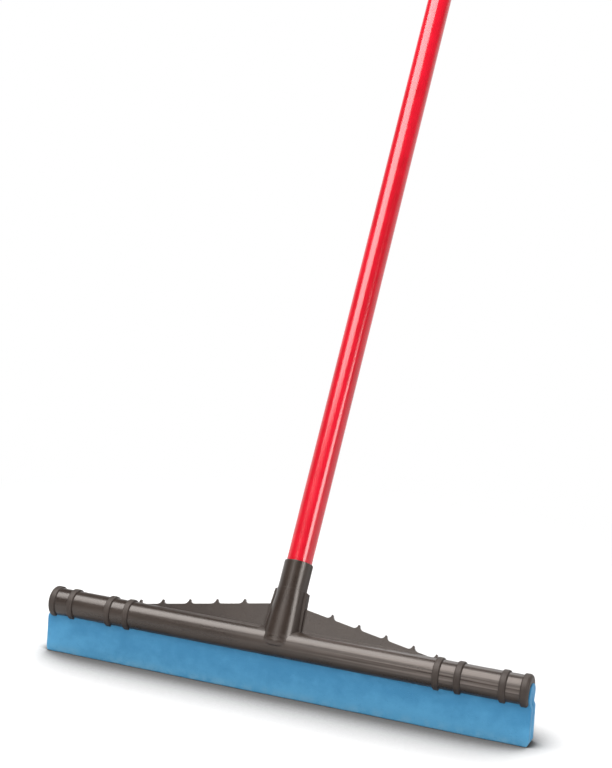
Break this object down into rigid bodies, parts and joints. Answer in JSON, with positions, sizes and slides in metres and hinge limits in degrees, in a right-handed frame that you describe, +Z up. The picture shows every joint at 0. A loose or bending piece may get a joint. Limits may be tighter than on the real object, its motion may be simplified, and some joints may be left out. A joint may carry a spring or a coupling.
{
  "type": "floor squeegee",
  "caption": "Floor squeegee: round moulded bar with rings and a toothed web, a folded blue foam blade, and a leaning socket for a red plastic-skinned pole with a hanging eye.",
  "frame": {"origin": "on the floor, midway along the blade and midway between its two lips", "axes": "+X along the bar, to the right in the picture; +Y behind the blade, the way the pole leans; +Z up"},
  "size_m": [0.425, 0.6346, 1.1152],
  "materials": {
    "dark_moulding": "satin moulded polypropylene, dark warm grey",
    "blue_foam": "matt closed-cell foam, mid blue",
    "white_rod": "plain extruded rod",
    "tube_steel": "thin welded tube",
    "red_skin": "glossy shrunk plastic film, bright red",
    "black_plastic": "plain moulded plastic, black"
  },
  "bodies": {
    "head": {"head_body": "dark_moulding"},
    "blade": {"blade_fold": "blue_foam", "keeper_rod": "white_rod"},
    "front_lip": {"front_lip": "blue_foam"},
    "rear_lip": {"rear_lip": "blue_foam"},
    "pole": {"pole_tube": "tube_steel", "pole_sleeve": "red_skin", "pole_plug": "black_plastic", "pole_cap": "black_plastic"}
  },
  "joints": [
    {"name": "pole_pull", "type": "slide", "parent": "head", "child": "pole", "axis": [0, 0.5, 0.866], "range_m": [0, 0.06]},
    {"name": "blade_slide", "type": "slide", "parent": "head", "child": "blade", "axis": [1, 0, 0], "range_m": [0, 0.43]},
    {"name": "front_lip_bend", "type": "hinge", "parent": "blade", "child": "front_lip", "pos_m": [0, -0.0037, 0.03043], "axis": [1, 0, 0], "range_deg": [-25, 25], "stiffness_Nm_per_rad": 1.2},
    {"name": "rear_lip_bend", "type": "hinge", "parent": "blade", "child": "rear_lip", "pos_m": [0, 0.0037, 0.03043], "axis": [1, 0, 0], "range_deg": [-25, 25], "stiffness_Nm_per_rad": 1.2}
  ],
  "couplings": [
    {"joint": "rear_lip_bend", "follows": "front_lip_bend", "ratio": 1}
  ]
}
